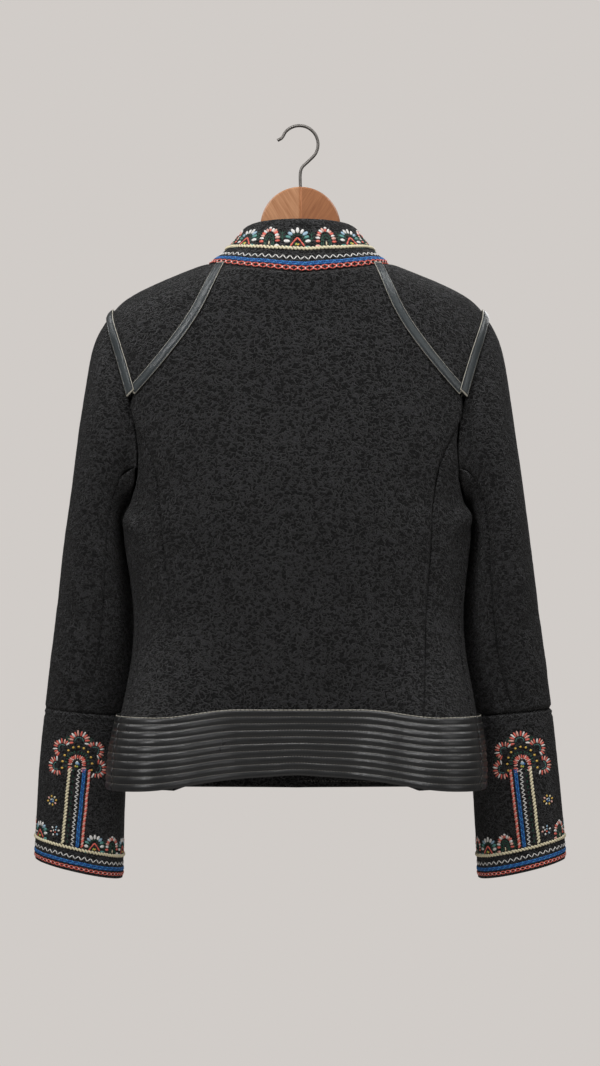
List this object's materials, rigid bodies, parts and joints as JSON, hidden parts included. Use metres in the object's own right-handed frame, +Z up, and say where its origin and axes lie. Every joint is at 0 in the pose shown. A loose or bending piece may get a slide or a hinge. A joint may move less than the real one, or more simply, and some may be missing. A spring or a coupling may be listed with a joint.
{
  "type": "embroidered jacket on a wooden hanger",
  "caption": "Short boiled wool folk jacket with embroidered collar and cuffs, leather strips and a quilted leather hem band, on a wooden hanger.",
  "frame": {"origin": "inner top of the hook's bend, where it rests on a rail", "axes": "+Z up, the jacket's front faces -Y and its back +Y, the wearer's left is +X"},
  "size_m": [0.578, 0.1991, 0.8141],
  "materials": {
    "wool": "matte black boiled wool with a curly nap",
    "leather": "satin slate grey leather with pale cut edges",
    "quilted_leather": "satin dark grey leather, channel quilted",
    "thread": "embroidery yarn and cords, cream and mixed colours",
    "wood": "lacquered, slanting grain",
    "steel": "dark, satin"
  },
  "bodies": {
    "root": {"back": "wool", "side_back_left": "wool", "side_back_right": "wool", "front_left": "wool", "front_right": "wool", "shoulder_left": "wool", "shoulder_right": "wool", "sleeve_top_left": "wool", "sleeve_top_right": "wool", "sleeve_under_left": "wool", "sleeve_under_right": "wool", "cuff_left": "wool", "cuff_right": "wool", "collar": "wool", "yoke_strip_back_left": "leather", "yoke_strip_back_right": "leather", "yoke_strip_front_left": "leather", "yoke_strip_front_right": "leather", "armhole_strip_left": "leather", "armhole_strip_right": "leather", "hem_band_back": "quilted_leather", "hem_band_front_left": "quilted_leather", "hem_band_front_right": "quilted_leather", "hanger_left": "wood", "hanger_right": "wood", "hook": "steel"}
  },
  "joints": []
}
